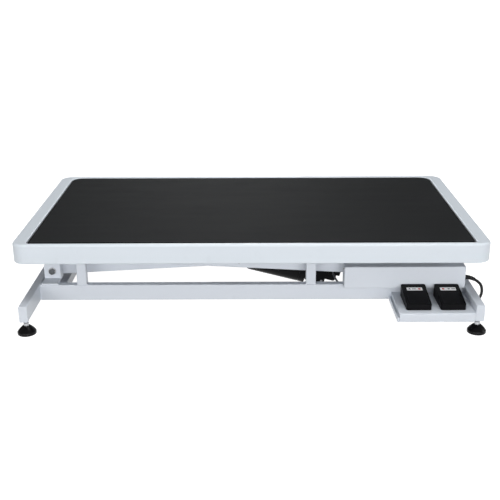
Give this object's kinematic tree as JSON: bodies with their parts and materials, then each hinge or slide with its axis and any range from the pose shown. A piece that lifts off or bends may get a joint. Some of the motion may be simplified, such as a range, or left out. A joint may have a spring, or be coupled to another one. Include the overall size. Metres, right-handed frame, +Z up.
{
  "type": "electric grooming table",
  "caption": "Low electric pet grooming table with a mat-topped scissor lift, a linear actuator, levelling feet, a control box, foot pedals and a mains cord.",
  "frame": {"origin": "on the floor, under the middle of the table", "axes": "+X to the right along the table, +Y to the back, away from the pedals, +Z up"},
  "size_m": [1.1278, 0.698, 0.21],
  "materials": {
    "paint": "satin light grey powder coat",
    "rim_paint": "satin light grey powder coat",
    "zinc": "zinc plated",
    "black_plastic": "matte black",
    "mat_rubber": "matte, lightly ribbed",
    "cord_rubber": "matte black",
    "plywood": "raw",
    "nylon": "off-white",
    "circuit": "green board",
    "grey_lead": "matte grey",
    "black_metal": "black"
  },
  "bodies": {
    "base": {"front_rail": "paint", "rear_rail": "paint", "left_end_bar": "paint", "right_end_bar": "paint", "post_front_left": "paint", "post_front_right": "paint", "post_rear_left": "paint", "post_rear_right": "paint", "base_track_front": "zinc", "base_track_rear": "zinc", "base_bracket_front": "paint", "base_bracket_rear": "paint", "pivot_beam": "paint", "base_pivot_shaft": "zinc", "actuator_beam": "paint", "clevis_pin": "zinc", "box_cover": "paint", "box_back": "paint", "control_board": "circuit", "cord_gland": "cord_rubber", "pedal_tray": "paint", "left_pedal_housing": "black_plastic", "right_pedal_housing": "black_plastic", "actuator_lead": "grey_lead", "mains_cord": "cord_rubber", "cord_coil": "cord_rubber", "plug": "cord_rubber"},
    "inner_arms": {"inner_arm_front": "paint", "inner_arm_rear": "paint", "lift_tube": "paint", "top_roller_shaft": "zinc"},
    "outer_arms": {"outer_arm_front": "paint", "outer_arm_rear": "paint", "outer_arm_upper_tie": "paint", "outer_arm_lower_tie": "paint", "centre_bolt_front": "zinc", "centre_bolt_rear": "zinc"},
    "tabletop": {"table_rim": "rim_paint", "table_board": "plywood", "table_mat": "mat_rubber", "top_frame": "paint", "top_track_front": "zinc", "top_track_rear": "zinc", "top_bracket_front": "paint", "top_bracket_rear": "paint", "top_pivot_shaft": "zinc"},
    "actuator": {"actuator_gearbox": "black_plastic", "actuator_tube": "black_metal", "actuator_motor": "black_metal"},
    "rod": {"actuator_rod": "zinc"},
    "left_treadle": {"left_pedal_treadle": "black_plastic"},
    "right_treadle": {"right_pedal_treadle": "black_plastic"},
    "base_roller_front": {"base_roller_front": "nylon"},
    "top_roller_front": {"top_roller_front": "nylon"},
    "foot_front_left": {"foot_front_left": "black_plastic"},
    "foot_front_right": {"foot_front_right": "black_plastic"},
    "base_roller_rear": {"base_roller_rear": "nylon"},
    "top_roller_rear": {"top_roller_rear": "nylon"},
    "foot_rear_left": {"foot_rear_left": "black_plastic"},
    "foot_rear_right": {"foot_rear_right": "black_plastic"}
  },
  "joints": [
    {"name": "lift", "type": "hinge", "parent": "base", "child": "inner_arms", "pos_m": [-0.493, 0, 0.099], "axis": [0, -1, 0], "range_deg": [0, 59]},
    {"name": "centre_pivot", "type": "hinge", "parent": "inner_arms", "child": "outer_arms", "pos_m": [-0.0302, 0, 0.124], "axis": [0, -1, 0], "range_deg": [-118, 0]},
    {"name": "top_pivot", "type": "hinge", "parent": "outer_arms", "child": "tabletop", "pos_m": [-0.493, 0, 0.149], "axis": [0, -1, 0], "range_deg": [0, 59]},
    {"name": "actuator_tilt", "type": "hinge", "parent": "base", "child": "actuator", "pos_m": [0.25, 0, 0.042], "axis": [0, 1, 0], "range_deg": [0, 13.1]},
    {"name": "rod_slide", "type": "slide", "parent": "actuator", "child": "rod", "axis": [-0.9675, 0, 0.2529], "range_m": [0, 0.263]},
    {"name": "base_roller_spin_front", "type": "hinge", "parent": "outer_arms", "child": "base_roller_front", "pos_m": [0.4326, -0.187, 0.099], "axis": [0, 1, 0], "continuous": true},
    {"name": "top_roller_spin_front", "type": "hinge", "parent": "inner_arms", "child": "top_roller_front", "pos_m": [0.4326, -0.121, 0.149], "axis": [0, 1, 0], "continuous": true},
    {"name": "base_roller_spin_rear", "type": "hinge", "parent": "outer_arms", "child": "base_roller_rear", "pos_m": [0.4326, 0.187, 0.099], "axis": [0, 1, 0], "continuous": true},
    {"name": "top_roller_spin_rear", "type": "hinge", "parent": "inner_arms", "child": "top_roller_rear", "pos_m": [0.4326, 0.121, 0.149], "axis": [0, 1, 0], "continuous": true},
    {"name": "left_treadle_press", "type": "hinge", "parent": "base", "child": "left_treadle", "pos_m": [0.39, -0.275, 0.07649], "axis": [1, 0, 0], "range_deg": [0, 4], "stiffness_Nm_per_rad": 4, "springref_deg": -5.73},
    {"name": "right_treadle_press", "type": "hinge", "parent": "base", "child": "right_treadle", "pos_m": [0.47, -0.275, 0.07649], "axis": [1, 0, 0], "range_deg": [0, 4], "stiffness_Nm_per_rad": 4, "springref_deg": -5.73},
    {"name": "foot_height_front_left", "type": "slide", "parent": "base", "child": "foot_front_left", "axis": [0, 0, 1], "range_m": [-0.008, 0.008]},
    {"name": "foot_height_front_right", "type": "slide", "parent": "base", "child": "foot_front_right", "axis": [0, 0, 1], "range_m": [-0.008, 0.008]},
    {"name": "foot_height_rear_left", "type": "slide", "parent": "base", "child": "foot_rear_left", "axis": [0, 0, 1], "range_m": [-0.008, 0.008]},
    {"name": "foot_height_rear_right", "type": "slide", "parent": "base", "child": "foot_rear_right", "axis": [0, 0, 1], "range_m": [-0.008, 0.008]}
  ],
  "couplings": [
    {"joint": "centre_pivot", "follows": "lift", "ratio": -2},
    {"joint": "top_pivot", "follows": "lift", "ratio": 1},
    {"joint": "actuator_tilt", "follows": "lift", "ratio": 0.22155},
    {"joint": "rod_slide", "follows": "lift", "m_per_rad": 0.25469}
  ]
}
